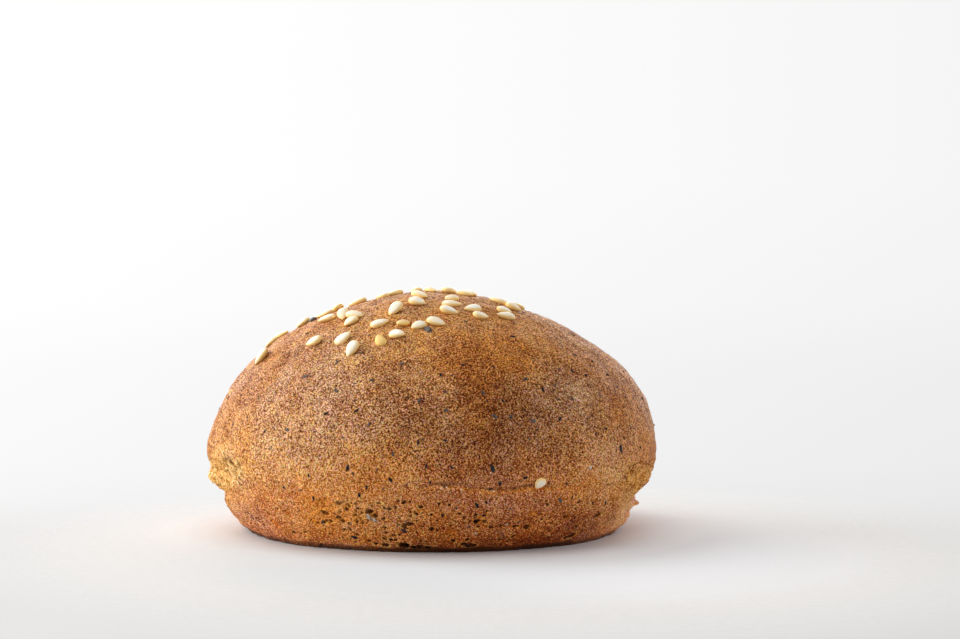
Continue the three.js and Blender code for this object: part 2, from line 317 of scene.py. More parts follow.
def golden(turn, height):
    sides = SIDE_GOLD * ease(*SIDE_HEIGHTS, height) * np.abs(np.sin(turn)) ** SIDE_NARROWING
    # The golden lip is partly painted light
    lip = LEDGE_STRENGTH * ledge(turn, height)
    foot = FOOT_BROWN * ease(*FOOT_HEIGHTS, height)
    return np.clip(sum_of(GOLDEN_AND_LIGHT_PATCHES, turn, height) + sides + lip - foot, -1, 1)


def mauve(turn, height):
    lip = LEDGE_STRENGTH * ledge(turn, height)
    return np.clip(sum_of(MAUVE_AND_SHEEN_PATCHES, turn, height) - lip, -1, 1)


def russet(turn, height):
    """1 in the redder base, 0 in the dome and at the pale sides of the base."""
    band = BAND_RUSSET * ease(*BAND_START, np.sin(turn)) * ease(*BAND_BOTTOM, height) \
        * ease(*BAND_TOP, height)
    share = ease(*BASE_RUSSET_HEIGHTS, height) + band
    share = np.minimum(share + sum_of([RUSSET_PATCH], turn, height), 1)
    pale_sides = sum_of(PALE_SIDES, turn, height)
    return share * (1 - pale_sides) * (1 - sum_of([PITTED_PATCH], turn, height))


def sway(turn):
    """How far the edge of the dome waves up and down along its fold."""
    return SWAY * np.cos(SWAYS * (turn - math.radians(SWAY_START)))


def fold(turn, height):
    """The thin line of painted shade under the edge of the dome, clearest right of the front."""
    above_crease = height - crease_height(turn)
    middle = FOLD_RISE - sway(turn) + JITTER * np.sin(JITTERS * turn)
    share = FOLD_BEHIND * (np.cos(turn) < BEHIND_START) + along_roll(turn, FOLD_TURN, FOLD_SPAN)
    breaks = BREAK_DEPTH * np.sin(BREAKS[0] * turn) * np.sin(BREAKS[1] * turn)
    share = share * (1 - BREAK_DEPTH + breaks)
    return share * np.exp(-(((above_crease - middle) / FOLD_WIDTH) ** 2))


def ledge(turn, height):
    """The golden lip of the base just under that line, partly painted light, as on a lit ledge."""
    above_crease = height - crease_height(turn)
    middle = -LEDGE_DROP - sway(turn)
    share = along_roll(turn, FOLD_TURN, LEDGE_SPAN)
    return share * np.exp(-(((above_crease - middle) / LEDGE_WIDTH) ** 2))


def crumb_share(turn, height):
    """Share of bare crumb: all of the left tear and some over it, most of the right one."""
    share = torn(turn, height) * np.where(np.sin(turn) < 0, 1.0, RIGHT_TEAR_CRUMB)
    return share + sum_of([THIN_CRUST], turn, height)


def bake_and_light_of(turn, height):
    """The shares the crust's material reads, but for hollow: bake, and painted light and shade."""
    return {"golden": golden(turn, height), "mauve": mauve(turn, height),
            "russet": russet(turn, height), "pale": sum_of(PALE_LIGHT_AND_SHADE_PATCHES, turn, height),
            "crumb": crumb_share(turn, height)}


def lift_of_crust(turn, height, start, end):
    """Lift of the skin, which sinks from start to end above the crease to pass behind its
    neighbour, and sinks behind the torn crumb and in the fold."""
    behind = ease(crease_height(turn) + start, crease_height(turn) + end, height)
    bared = ease(*BARED_STARTS, torn(turn, height))
    return -OVERLAP_SINK * behind - TEAR_CLEARANCE * bared - FOLD_DEPTH * fold(turn, height)


crust_dome, along, up = sheet_of_dough("crust_dome", DOME_COLUMNS, DOME_ROWS)
turn = 2 * math.pi * along
edge = base_level(crease_height(turn) - OVERLAP)
level = edge + (1 - edge) * up ** DOME_CROWDING
radius, height = half_section(level)
lift = lift_of_crust(turn, height, OVERLAP_START, -OVERLAP)
# The fold is painted dark along its line: painted shade under the edge of the dome
wrap(crust_dome, skin(turn, level, lift), hollow=FOLD_DARKNESS * fold(turn, height),
     **bake_and_light_of(turn, height))
crust_grain(crust_dome)


def new_material(name):
    material = bpy.data.materials.new(name)
    material.use_nodes = True
    tree = material.node_tree
    return material, tree, tree.nodes["Principled BSDF"]


def feed(tree, socket, value):
    """Sets an input to a number or a colour, or links another node's output to it."""
    if isinstance(value, bpy.types.NodeSocket):
        tree.links.new(value, socket)
    elif socket.type == "RGBA":
        socket.default_value = (*value, 1)
    else:
        socket.default_value = value


def set_inputs(tree, node, **inputs):
    for name, value in inputs.items():
        feed(tree, node.inputs[name.replace("_", " ")], value)


def add_node(tree, kind, settings=None, **inputs):
    made = tree.nodes.new("ShaderNode" + kind)
    for setting, value in (settings or {}).items():
        setattr(made, setting, value)
    set_inputs(tree, made, **inputs)
    return made


def ramp(tree, value, stops):
    """Colour ramp through stops of (place, colour)."""
    made = add_node(tree, "ValToRGB", Fac=value)
    while len(made.color_ramp.elements) < len(stops):
        made.color_ramp.elements.new(0.5)
    for element, (place, colour) in zip(made.color_ramp.elements, stops):
        element.position = place
        element.color = (*colour, 1)
    return made.outputs["Color"]


def blend(tree, share, first, second, how="MIX"):
    """Mixes two colours, which the node takes in its sockets 6 and 7."""
    made = add_node(tree, "Mix", {"data_type": "RGBA", "blend_type": how})
    for place, value in ((0, share), (6, first), (7, second)):
        feed(tree, made.inputs[place], value)
    return made.outputs[2]


def reckon(tree, how, first, second):
    made = add_node(tree, "Math", {"operation": how})
    feed(tree, made.inputs[0], first)
    feed(tree, made.inputs[1], second)
    return made.outputs[0]


def stretch(tree, value, low, high, start=0, end=1):
    """From start, where the value is low, to end, where it is high."""
    made = add_node(tree, "MapRange", Value=value, From_Min=low, From_Max=high, To_Min=start,
                    To_Max=end)
    return made.outputs["Result"]


def share_of(tree, name):
    return add_node(tree, "Attribute", {"attribute_name": name}).outputs["Fac"]


def mottle_of(tree, place, scale, detail, roughness=0.5, distortion=0.0):
    """Soft noise from 0 to 1, as fine as its scale; detail adds finer layers."""
    made = add_node(tree, "TexNoise", Vector=place, Scale=scale, Detail=detail,
                    Roughness=roughness, Distortion=distortion)
    return made.outputs["Fac"]


# Browned crust: grains of bran and flour a third of a millimetre wide, brown to tan, more golden
# where it baked less and creamy where it was torn; tone and colour, from the darkest grain on.
# The lightest browns and golds are partly a painted highlight, whiter than the grain, on the
# raised grains of a crust whose shader has almost no gloss
BROWNS = [(0.38, (0.074, 0.0115, 0.001)), (0.50, (0.42, 0.118, 0.020)), (0.62, (1.0, 0.58, 0.28))]
GOLDS = [(0.38, (0.17, 0.034, 0.003)), (0.50, (0.61, 0.194, 0.023)), (0.62, (1.0, 0.68, 0.28))]
CREAMS = [(0.38, (0.46, 0.145, 0.020)), (0.50, (0.86, 0.430, 0.092)), (0.60, (1.0, 0.80, 0.40))]
# Tints from grain to grain: mauve, russet, yellow, olive
TINTS = [(0.38, (0.86, 0.80, 1.12)), (0.47, (1.0, 0.66, 0.32)), (0.53, (0.98, 0.97, 0.32)),
         (0.62, (0.78, 0.91, 0.86))]
# Blooms that wide patches are multiplied by
WHITE = (1.0, 1.0, 1.0)
DARKER_RED_BLOOM = (0.66, 0.50, 0.40)
# Mauve also carries the painted sheen on both shoulders
MAUVE_BLOOM = (0.98, 1.12, 1.55)
AMBER_BLOOM = (1.02, 0.86, 0.52)
RUSSET_BLOOM = (1.05, 0.90, 0.97)
# Painted shade for the pits, slits and holes, the fold and the gap under the foot, the darkest
# places, which also browns the baked underside in part; the blackest shade, deep in the pits; and
# the flecks of blue-black bran
HOLLOW = (0.062, 0.0155, 0.002)
DEEPEST_SHADE = (0.010, 0.006, 0.005)
FLECK = (0.024, 0.021, 0.026)

FINE_SHARE, COARSE_SHARE, GRAIN_SHARE = 0.5, 0.2, 0.3
WIDE_NOISE, USUAL_NOISE = (0.3, 0.7), (0.35, 0.65)       # between these most of a noise lies
MIDDLE_TONE = 0.5
PATCH_TONE = (-0.02, 0.02)           # how far slow patches shift the tone
PATCH_GOLD = (-0.2, 0.2)
BLOTCH_DRIFT = (-0.45, 0.45)
CONTRAST = (1.25, 0.85)              # of the calm dome and of the russet base
DARKER, PALER = (-0.5, 0.449), (0.5, 0.559)      # share of pale, and the middle of the tones there
CRUMB_STARTS = (0.35, 0.95)
CRUMB_TINT = 0.35                    # share of the tint that is left in bare crumb
FLECKS_PER_METRE = 700
FLECK_WAVER = 0.9                    # how far the edges of the flecks wander
FLECK_DRAW, FLECK_SIZE = (0.72, 1.0), (0.0, 0.30)
FLECK_EDGE = 0.07
FLECK_STRENGTH = (0.55, 0.95)
DEEPEST_SHADE_START, HOLLOW_COVER = 0.9, 0.95
CRUST_ROUGHNESS = (0.62, 0.45)
BUMP_DEPTH = 0.2

crust, tree, shader = new_material("browned crust")
place = add_node(tree, "TexCoord").outputs["Object"]
patches = mottle_of(tree, place, scale=260, detail=3, roughness=0.55)
blotches = mottle_of(tree, place, scale=150, detail=2)
grain = mottle_of(tree, place, scale=4400, detail=1, distortion=0.5)


def strokes(tree, place, cell, width, length, offset):
    """Short strokes, in each cell another way round, like flakes of bran pressed in the skin."""
    moved = add_node(tree, "Mapping", Vector=place, Location=(offset, 0, 0)).outputs["Vector"]
    cells = add_node(tree, "TexVoronoi", Vector=moved, Scale=1 / (cell * MM)).outputs["Color"]
    angles = add_node(tree, "VectorMath", {"operation": "SCALE"}, Vector=cells,
                      Scale=2 * math.pi).outputs["Vector"]
    turned = add_node(tree, "VectorRotate", {"rotation_type": "EULER_XYZ"}, Vector=moved,
                      Rotation=angles).outputs["Vector"]
    drawn = add_node(tree, "Mapping", Vector=turned,
                     Scale=(1 / (width * MM), 1 / (length * MM), 1 / (width * MM)))
    return mottle_of(tree, drawn.outputs["Vector"], scale=1, detail=0, distortion=0.3)


fine = strokes(tree, place, cell=0.5, width=0.155, length=0.5, offset=0.0)
coarse = strokes(tree, place, cell=1.1, width=0.28, length=0.95, offset=0.3)
hue = strokes(tree, place, cell=0.7, width=0.26, length=0.7, offset=0.7)
tone = reckon(tree, "ADD", reckon(tree, "MULTIPLY", fine, FINE_SHARE),
              reckon(tree, "MULTIPLY", coarse, COARSE_SHARE))
tone = reckon(tree, "ADD", tone, reckon(tree, "MULTIPLY", grain, GRAIN_SHARE))
tone = reckon(tree, "ADD", tone, stretch(tree, patches, *WIDE_NOISE, *PATCH_TONE))
contrast = stretch(tree, share_of(tree, "russet"), 0, 1, *CONTRAST)
tone = reckon(tree, "MULTIPLY", reckon(tree, "SUBTRACT", tone, MIDDLE_TONE), contrast)
# Pale shifts the middle tone: mostly painted light and shade, from its patches
middle = stretch(tree, share_of(tree, "pale"), DARKER[0], PALER[0], DARKER[1], PALER[1])
tone = reckon(tree, "ADD", tone, middle)

# Golden carries the painted light over the crown too
gold_share = reckon(tree, "ADD", share_of(tree, "golden"),
                    stretch(tree, patches, *USUAL_NOISE, *PATCH_GOLD))
colour = blend(tree, stretch(tree, gold_share, 0, 1), ramp(tree, tone, BROWNS),
               ramp(tree, tone, GOLDS))
colour = blend(tree, stretch(tree, share_of(tree, "crumb"), *CRUMB_STARTS), colour,
               ramp(tree, tone, CREAMS))
# Below 0 golden turns darker and redder: partly the bake, partly painted shade
darker_red = blend(tree, 1.0, colour, DARKER_RED_BLOOM, "MULTIPLY")
colour = blend(tree, stretch(tree, gold_share, 0, -1), colour, darker_red)

tinted = stretch(tree, share_of(tree, "crumb"), *CRUMB_STARTS, 1, CRUMB_TINT)
colour = blend(tree, tinted, colour, ramp(tree, hue, TINTS), "MULTIPLY")
drift = reckon(tree, "ADD", share_of(tree, "mauve"),
               stretch(tree, blotches, *USUAL_NOISE, *BLOTCH_DRIFT))
for share, bloom in ((stretch(tree, drift, 0, 1), MAUVE_BLOOM),
                     (stretch(tree, drift, 0, -1), AMBER_BLOOM),
                     (share_of(tree, "russet"), RUSSET_BLOOM)):
    colour = blend(tree, 1.0, colour, blend(tree, share, WHITE, bloom), "MULTIPLY")

waver = add_node(tree, "TexNoise", Vector=place, Scale=1400, Detail=1).outputs["Color"]
waver = add_node(tree, "VectorMath", {"operation": "MULTIPLY_ADD"}, Vector=waver)
waver.inputs[1].default_value = (FLECK_WAVER * MM,) * 3
tree.links.new(place, waver.inputs[2])
fleck_cells = add_node(tree, "TexVoronoi", Vector=waver.outputs["Vector"],
                       Scale=FLECKS_PER_METRE)
draw = add_node(tree, "SeparateColor", Color=fleck_cells.outputs["Color"])
fleck_size = stretch(tree, draw.outputs["Green"], *FLECK_DRAW, *FLECK_SIZE)
fleck = reckon(tree, "SUBTRACT", fleck_size, fleck_cells.outputs["Distance"])
fleck = reckon(tree, "MULTIPLY", stretch(tree, fleck, 0, FLECK_EDGE),
               stretch(tree, draw.outputs["Blue"], 0, 1, *FLECK_STRENGTH))
colour = blend(tree, fleck, colour, FLECK)

hollow = share_of(tree, "hollow")
# Painted shade in pits, slits, holes, the fold and the foot's gap, and a browner underside
colour = blend(tree, stretch(tree, hollow, 0, DEEPEST_SHADE_START, 0, HOLLOW_COVER), colour, HOLLOW)
colour = blend(tree, stretch(tree, hollow, DEEPEST_SHADE_START, 1), colour, DEEPEST_SHADE)
bump = add_node(tree, "Bump", Strength=1, Distance=BUMP_DEPTH * MM, Height=tone)
set_inputs(tree, shader, Base_Color=colour, Specular_IOR_Level=0.04, Sheen_Weight=0.025,
           Roughness=stretch(tree, grain, *WIDE_NOISE, *CRUST_ROUGHNESS),
           Normal=bump.outputs["Normal"])


def bake_in(piece, finish):
    """Gives a piece its finish and makes it a part of the roll."""
    piece.data.materials.append(finish)
    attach(piece, "root")
    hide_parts("bread_roll")


bake_in(crust_dome, crust)


# --- Base of the crust ------------------------------------------------------------------------
# The lower band and the flat foot, baked against the tray. Steam broke through here while it was
# soft, so the golden band is full of small dark pits, thickest left of the front, with a blister.
BASE_COLUMNS = 860
BASE_ROWS = 112
BAND_SHARE = 0.84        # share of the rows in the band, the rest are under the foot
FRONT_CROWDING = 0.5     # columns lie closer at the front, where most of the pits are

# Large pits: turn from the front in degrees, height, half width, length over width, slope of the
# long way in radians
LARGE_PITS = [
    (-6.4, 4.7, 0.34, 3, 0.05), (-8, 0.7, 0.60, 1.4, 0), (-13.5, 0.7, 0.42, 1.6, 0),
    (-3.5, 0.4, 0.42, 4, 0), (10.5, 0.7, 0.45, 2.2, 0), (26, 3.7, 0.48, 1.4, 0.1),
    (42.5, 1.2, 0.36, 3.4, 0.35), (-16.3, 6.8, 0.50, 1.2, 0.2), (-14.9, 6, 0.33, 1.3, -0.7),
    (-21.5, 7.7, 0.33, 1.2, 0.2), (-24, 8.1, 0.33, 1.8, 0.1), (-19.2, 8.1, 0.25, 1.6, -0.6),
    (-12.2, 7.5, 0.25, 1.6, -0.8), (-10.9, 7.3, 0.28, 1.8, -0.3), (-3, 7.8, 0.30, 1.5, 0),
    (-25.2, 5.4, 0.28, 1.3, 0.2), (-28.6, 6.2, 0.33, 2.2, -0.5), (-29, 4.7, 0.30, 1.5, 0.3),
    (-27.6, 4.7, 0.28, 1.2, 0), (-4.2, 6.7, 0.28, 1.8, -0.8), (-7.4, 4.1, 0.30, 2.2, -0.6),
    (-12.9, 4, 0.30, 1.3, -0.6), (-10.4, 2.6, 0.30, 1.3, -0.3), (-21.2, 2.6, 0.25, 3, -0.7),
    (-0.4, 3.8, 0.40, 1.2, 0.1), (1.2, 3.6, 0.25, 1.3, -0.3), (2.6, 6.3, 0.25, 1.3, 0),
    (11, 6.2, 0.25, 1.5, 0.1), (13.1, 6.1, 0.30, 1.3, 0.1), (11.6, 5.1, 0.30, 1.6, 0.5),
    (13.6, 5.1, 0.30, 1.6, -0.2), (9.5, 1.9, 0.30, 1.3, 0.3), (5.6, 1.6, 0.28, 1.8, -0.6),
    (8.5, 1, 0.35, 1.5, 0.4), (15.5, 4, 0.28, 1.5, -0.5), (22.4, 2.2, 0.30, 1.5, 0.8),
    (22.5, 4, 0.28, 2, 0.1), (33.4, 4.1, 0.28, 1.4, 0.6), (28.6, 5.9, 0.22, 1.8, 0.5),
    (32.2, 5.1, 0.22, 1.4, 0.7), (37.6, 5, 0.35, 1.2, 0.2), (34, 2.6, 0.33, 1.5, 0.4),
    (50, 4.5, 0.33, 3.0, 0.35), (58.5, 3.6, 0.36, 2.8, 0.5), (56, 2.8, 0.34, 2.2, 0.5),
    (-63, 4, 0.25, 2.6, -0.9), (-57, 5.6, 0.25, 1.3, 0),
]
# Wide shallow hollows where the skin sank in, in the same order
HOLLOWS = [
    (-28.5, 7.8, 0.8, 1.3, 0.2), (-33, 4.8, 0.7, 2.2, -0.5), (-41, 5.7, 0.75, 1.5, -1.1),
    (-22, 7.3, 0.55, 1.2, 0), (-29, 5.2, 0.5, 1.6, 0), (22, 3.9, 0.55, 2.2, 0.1),
    (22.5, 5.3, 0.5, 2.0, 0.1), (26, 3.7, 0.75, 1.3, 0), (37.5, 5.1, 0.65, 1.4, 0),
    (12, 5.3, 0.7, 1.8, 0), (26.5, 6.2, 0.6, 1.5, 0.1), (-15, 6.5, 0.7, 1.4, -0.3),
    (-24, 5.4, 0.7, 1.6, -0.3), (5, 3.2, 0.6, 2.0, 0.1), (50.5, 4.6, 0.6, 1.8, 0.5),
    (34, 2.6, 0.6, 1.8, 0.2), (-48, 3.4, 0.6, 1.8, -0.6), (130, 4.5, 0.8, 1.6, 0.2),
    (165, 6.0, 0.7, 1.8, -0.2), (-160, 4.0, 0.8, 1.4, 0.1), (-120, 5.5, 0.7, 1.8, 0.3),
    (100, 6.0, 0.6, 1.6, -0.4), (-140, 7.0, 0.6, 1.5, 0.0), (145, 2.5, 0.6, 2.0, 0.2),
]
BLISTER = (-6, 5.8, 1.0, 1.4, 0)
BLISTER_RISE = 0.3
PIT_DEPTH, HOLLOW_DEPTH = 1.9, 0.75

# Small pits: some swarm left of the front, the rest lie all round, more of them low down
PIT_COUNT = 520
SWARM_SHARE = 0.3
SWARM_TURN, SWARM_SPREAD = -14, 11
SWARM_HEIGHTS = (1.0, 8.8)
LOWEST_PIT, PIT_REACH, PIT_LOWERING = 0.6, 8.2, 1.2
SMALLEST_PIT, PIT_GROWTH = 0.15, 0.13
PIT_LENGTHS = (1, 1.8)
PIT_SLOPES = (-0.9, 0.6)
PIT_CLEARANCE = 0.75
CREASE_CLEARANCE = 0.5
pits = np.random.default_rng(7)

# Ragged edges of the pits: length, height, seed and depth of the noise
RAG_LENGTH, RAG_HEIGHT, RAG_SEED, RAGGEDNESS = 0.45, 0.35, 7.7, 0.85
# Depths where the pale rim of a pit starts and ends, where the painted shade on its floor starts,
# and where a hollow's floor does
RIM_STARTS, RIM_ENDS, FLOOR_STARTS = (0.002, 0.02), (0.09, 0.06), (0.05, 0.15)
SUNK_STARTS = (0.08, 0.4)
RIM_GOLD, RIM_MAUVE, RIM_RUSSET, RIM_PALE = 1.1, 0.6, 0.6, 0.6
SUNK_GOLD, SUNK_MAUVE, BLISTER_MAUVE = 0.8, 0.7, 0.5
# Pit floors are painted shade, varying with the noise, and paler in the lit pits left of the front
FLOOR_DARKNESS, DARKNESS_CHANGE = 0.85, 0.3
PALER_PITS = (-26, 10, 6.5, 4, 0.4)

# Dark edge of the foot: painted shade of the gap under its curled-up edge, weaker at both sides,
# whose places are sines of the turn; the underside has the same painted shade near the edge, and
# from there to its middle is a paler baked brown
EDGE_DARKNESS, EDGE_HEIGHTS = 0.9, (0.62, 0)
LEFT_LOSS, LEFT_SIDE = 0.4, (-0.1, -0.7)
RIGHT_LOSS, RIGHT_SIDE = 0.55, (0.6, 0.9)
UNDERSIDE_DARKNESS = 0.88
INNER_SHARE, INNER_END = 0.35, 0.9


def pit_depth(points, bowls):
    """Depth of the deepest of the bowls at each point, before it is scaled."""
    depth = np.zeros(len(points))
    for at, high, size, length, slope in bowls:
        turn = math.radians(at)
        centre = skin(turn, base_level(high))
        near = np.abs(points - centre).max(axis=1) < 2 * size * length
        away = points[near] - centre
        aside = away[:, 0] * math.cos(turn) + away[:, 1] * math.sin(turn)
        rise = np.sign(away[:, 2]) * np.sqrt(np.maximum((away ** 2).sum(axis=1) - aside ** 2, 0))
        run = (aside * math.cos(slope) + rise * math.sin(slope)) / (size * length)
        across = (rise * math.cos(slope) - aside * math.sin(slope)) / size
        depth[near] = np.maximum(depth[near], size * np.exp(-((run ** 2 + across ** 2) ** 1.5)))
    return depth


def next_pit():
    """Turn and height of another small pit."""
    if pits.random() < SWARM_SHARE:
        return pits.normal(SWARM_TURN, SWARM_SPREAD), pits.uniform(*SWARM_HEIGHTS)
    return pits.uniform(-180, 180), LOWEST_PIT + PIT_REACH * pits.random() ** PIT_LOWERING


def noise_at(x, y, seed):
    return np.array([noise.noise((a, b, seed)) for a, b in zip(x, y)])


crust_base, along, up = sheet_of_dough("crust_base", BASE_COLUMNS, BASE_ROWS)
turn = 2 * math.pi * along
turn = turn - FRONT_CROWDING * np.sin(turn)
top = base_level(crease_height(turn) + OVERLAP)
band = np.clip((up - (1 - BAND_SHARE)) / BAND_SHARE, 0, 1)
level = -1 + (top + 1) * band
radius, height = half_section(level)

bowls = list(LARGE_PITS)
while len(bowls) < PIT_COUNT:
    at, high = next_pit()
    arc = math.radians(at) * FOOT_RADIUS
    free = all(math.hypot(math.radians(other[0]) * FOOT_RADIUS - arc, other[1] - high)
               > PIT_CLEARANCE for other in bowls)
    if free and high < crease_height(math.radians(at)) - CREASE_CLEARANCE:
        bowls.append((at, high, SMALLEST_PIT + PIT_GROWTH * pits.random() ** 2,
                      pits.uniform(*PIT_LENGTHS), pits.uniform(*PIT_SLOPES)))

smooth_form = skin(turn, level)
uneven = noise_at(FOOT_RADIUS * turn / RAG_LENGTH, height / RAG_HEIGHT, RAG_SEED)
pit = pit_depth(smooth_form, bowls) * (1 + RAGGEDNESS * uneven)
sunk = pit_depth(smooth_form, HOLLOWS)
blister = pit_depth(smooth_form, [BLISTER])
pit_rim = ease(*RIM_STARTS, pit) * ease(*RIM_ENDS, pit)
sunk_share = ease(*SUNK_STARTS, sunk)
pit_floor_shade = (FLOOR_DARKNESS + DARKNESS_CHANGE * uneven) * (1 - sum_of([PALER_PITS], turn, height))
lift = lift_of_crust(turn, height, -OVERLAP_START, OVERLAP)
lift = lift - PIT_DEPTH * pit - HOLLOW_DEPTH * sunk + BLISTER_RISE * blister
points = skin(turn, level, lift)

inside = np.clip(up / (1 - BAND_SHARE), 0, 1)
under_foot = (inside < 1) & (band == 0)
to_edge = FOOT_RADIUS / (FOOT_RADIUS - FOOT_INSET)
inside[under_foot] /= inside[under_foot].max()
points[under_foot, :2] *= (inside / to_edge)[under_foot, None]
points[under_foot, 2] = 0
foot_edge = EDGE_DARKNESS * ease(*EDGE_HEIGHTS, height) \
    * (1 - LEFT_LOSS * ease(*LEFT_SIDE, np.sin(turn))) \
    * (1 - RIGHT_LOSS * ease(*RIGHT_SIDE, np.sin(turn)))
underside = UNDERSIDE_DARKNESS * np.where(inside < INNER_END, INNER_SHARE, 1)
# Painted shade of the gap along the foot and near the edge of its underside; its middle is baked
foot_shade_and_bake = np.where(band > 0, foot_edge, underside)
bake_and_light = bake_and_light_of(turn, height)
bake_and_light["golden"] = np.clip(bake_and_light["golden"] + RIM_GOLD * pit_rim + SUNK_GOLD * sunk_share, -1, 1)
bake_and_light["mauve"] -= RIM_MAUVE * pit_rim
bake_and_light["mauve"] -= SUNK_MAUVE * sunk_share
bake_and_light["mauve"] += BLISTER_MAUVE * blister
bake_and_light["russet"] *= 1 - RIM_RUSSET * pit_rim
bake_and_light["pale"] += RIM_PALE * pit_rim
wrap(crust_base, points, hollow=np.maximum(pit_floor_shade * ease(*FLOOR_STARTS, pit), foot_shade_and_bake), **bake_and_light)
crust_grain(crust_base)
bake_in(crust_base, crust)


# --- Torn crumb at the sides ------------------------------------------------------------------
# Where the roll was pulled off its neighbours the crust is missing and the crumb shows: strands
# of dough drawn out downwards and to the right, with holes between them.
CRUMB_COLUMNS = 330
CRUMB_ROWS = 100
STRAND_LIE = math.radians(-40)
STRAND_LENGTH, STRAND_WIDTH, STRAND_HEIGHT = 2.4, 0.52, 0.35
SHEET_SPREAD = 1.3       # width of the sheet over the tear's
TEAR_BOTTOM, TEAR_SHARE = 0.2, 0.6   # where the tear starts up the sheet, and its share of it
# Holes between the strands and pores, in shares of the deepest, from shallow to deep in the noise
GAP_SHARE, GAP_STARTS = 0.7, (-0.1, -0.45)
PORE_SIZE, PORE_SEED = 0.7, 5.5
PORE_SHARE, PORE_STARTS = 0.6, (-0.15, -0.5)
HOLE_DEPTH, DEEPEST_HOLE, SLIT_DEPTH = 0.75, 1.2, 2.2
# Ragged edge of the crumb: length, height, seed and depth of the noise, and where the crumb and
# the skin round it start
FRAY_LENGTH, FRAY_HEIGHT, FRAY_SEED, FRAYING = 2.4, 1.6, 3.3, 0.25
CORE_STARTS, RIM_SPREAD = (0.45, 0.8), (0.02, 0.3)
RIM_RISE, EDGE_SINK = 0.05, 0.3
CRUMB_RUSSET = 0.5
SKIN_BARENESS, CORE_BARENESS = 0.6, 0.5
# Holes and slits are painted dark: painted shade in them, over their real depth
HOLE_DARKNESS, HOLE_FALLOFF, SLIT_STARTS = 0.5, 1.3, (0.03, 0.12)

# Slits between the strands: turn in degrees, height, half width, length over width, slope
SLITS = [
    (-64.2, 13.2, 0.41, 2.6, -1.35), (-61.5, 13.2, 0.32, 1.8, -1.2), (-56.8, 13.2, 0.41, 2.0, -1.3),
    (-52.5, 13.2, 0.30, 1.4, -1.2), (-70.5, 11.7, 0.30, 2.6, -1.1), (-67, 11.7, 0.32, 2.8, -1.25),
    (-60, 11.2, 0.32, 2.0, -0.9), (-55, 11.6, 0.35, 1.6, -1.3), (-58, 10.5, 0.30, 1.8, -0.8),
    (-59, 9.2, 0.32, 2.6, -1.1), (-67.5, 9.3, 0.27, 2.2, -1.0), (-72.5, 5.2, 0.24, 2.2, -0.8),
    (-65, 4.8, 0.30, 2.2, -0.7), (-53, 7.6, 0.27, 2.2, -0.9), (-79, 11, 0.24, 2.6, 1.0),
    (60.5, 12.2, 0.32, 2.2, 1.0), (61.5, 11.2, 0.27, 1.6, 0.9), (56.5, 11.1, 0.41, 1.2, 0.0),
    (73.5, 9.3, 0.30, 1.8, 1.0), (60.5, 7.9, 0.30, 1.6, -0.9), (49, 8.1, 0.30, 1.6, 0.2),
    (50.5, 6.8, 0.27, 1.8, -0.6), (51, 12.3, 0.27, 1.4, 1.2), (53, 9.1, 0.27, 1.6, 0.4),
]


def level_of(height):
    """Level of any height, under the waist or over it."""
    rise = np.clip((height - WAIST_HEIGHT) / (HEIGHT - WAIST_HEIGHT), 0, 1)
    return np.where(height < WAIST_HEIGHT, base_level(height), np.arcsin(rise) / QUARTER_TURN)


torn_crumbs = []
for name, tear in zip(("torn_crumb_left", "torn_crumb_right"), TEARS):
    tear_turn, span, tall, _ = tear
    crumb, along, up = sheet_of_dough(name, CRUMB_COLUMNS, CRUMB_ROWS)
    turn = np.radians(tear_turn + (2 * along - 1) * SHEET_SPREAD * span)
    height = crease_height(turn) + (up - TEAR_BOTTOM) * (tall + TEAR_MARGIN) / TEAR_SHARE
    arc = RADIUS * turn
    run = arc * math.cos(STRAND_LIE) + height * math.sin(STRAND_LIE)
    across = height * math.cos(STRAND_LIE) - arc * math.sin(STRAND_LIE)
    strands = noise_at(run / STRAND_LENGTH, across / STRAND_WIDTH, tear_turn)
    pores = noise_at(arc / PORE_SIZE, height / PORE_SIZE, tear_turn + PORE_SEED)
    holes = GAP_SHARE * ease(*GAP_STARTS, strands) + PORE_SHARE * ease(*PORE_STARTS, pores)
    inside = torn(turn, height)
    frayed = inside + FRAYING * noise_at(arc / FRAY_LENGTH, height / FRAY_HEIGHT, FRAY_SEED)
    core = ease(*CORE_STARTS, frayed)
    rim = ease(*RIM_SPREAD, inside)
    level = level_of(height)
    slit = pit_depth(skin(turn, level), SLITS)
    ups_and_downs = STRAND_HEIGHT * strands - HOLE_DEPTH * np.clip(holes, 0, DEEPEST_HOLE)
    lift = RIM_RISE * rim - EDGE_SINK * (1 - rim) + core * ups_and_downs - SLIT_DEPTH * slit
    bake_and_light = bake_and_light_of(turn, height)
    bake_and_light["russet"] *= CRUMB_RUSSET
    bareness = CORE_BARENESS * core * (1 if tear_turn < 0 else RIGHT_TEAR_CRUMB)
    bake_and_light["crumb"] = SKIN_BARENESS * bake_and_light["crumb"] + bareness
    # Painted shade in the holes between the strands and in the slits
    hole_shade = HOLE_DARKNESS * core * np.clip(holes, 0, 1) ** HOLE_FALLOFF
    hollow = np.maximum(hole_shade, HOLE_DARKNESS * ease(*SLIT_STARTS, slit))
    wrap(crumb, skin(turn, level, lift), hollow=hollow, **bake_and_light)
    rough_up(crumb, "crumb grain", size=0.7, depth=0.22, octaves=2)
    bake_in(crumb, crust)
    torn_crumbs.append(crumb)


